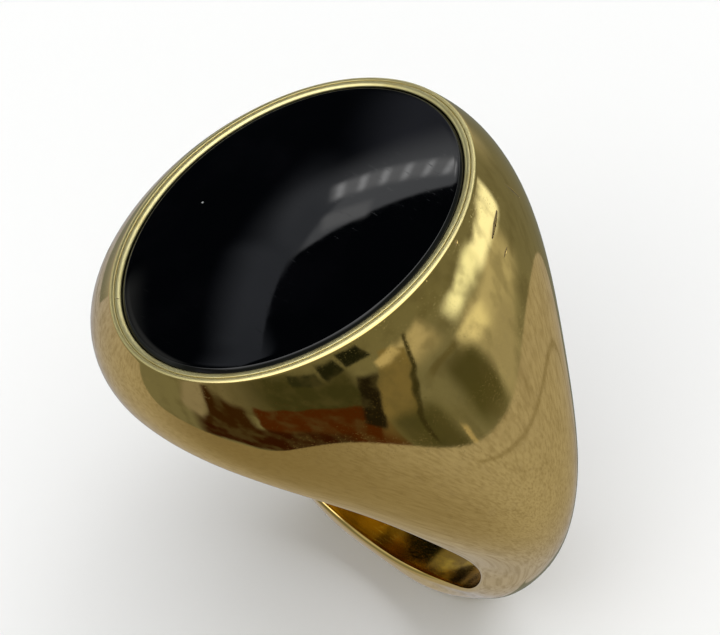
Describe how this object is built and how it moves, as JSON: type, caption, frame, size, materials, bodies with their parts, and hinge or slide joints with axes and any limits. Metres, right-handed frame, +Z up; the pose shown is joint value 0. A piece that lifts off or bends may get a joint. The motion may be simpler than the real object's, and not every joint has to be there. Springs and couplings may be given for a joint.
{
  "type": "signet ring",
  "caption": "Heavy signet ring: a domed gold head tapering into a rounded shank, with a large oval low-domed black stone set flush in a narrow polished rim.",
  "frame": {"origin": "centre of the finger hole", "axes": "+Y along the finger hole, +Z up through the stone, +X across the finger"},
  "size_m": [0.024, 0.0188, 0.024],
  "materials": {
    "gold": "polished",
    "pale_gold": "polished",
    "onyx": "gloss",
    "cement": "matte"
  },
  "bodies": {
    "root": {"ring_body": "gold", "bezel_strip": "pale_gold", "bearing_ring": "gold", "cement_bed": "cement", "oval_stone": "onyx"}
  },
  "joints": []
}
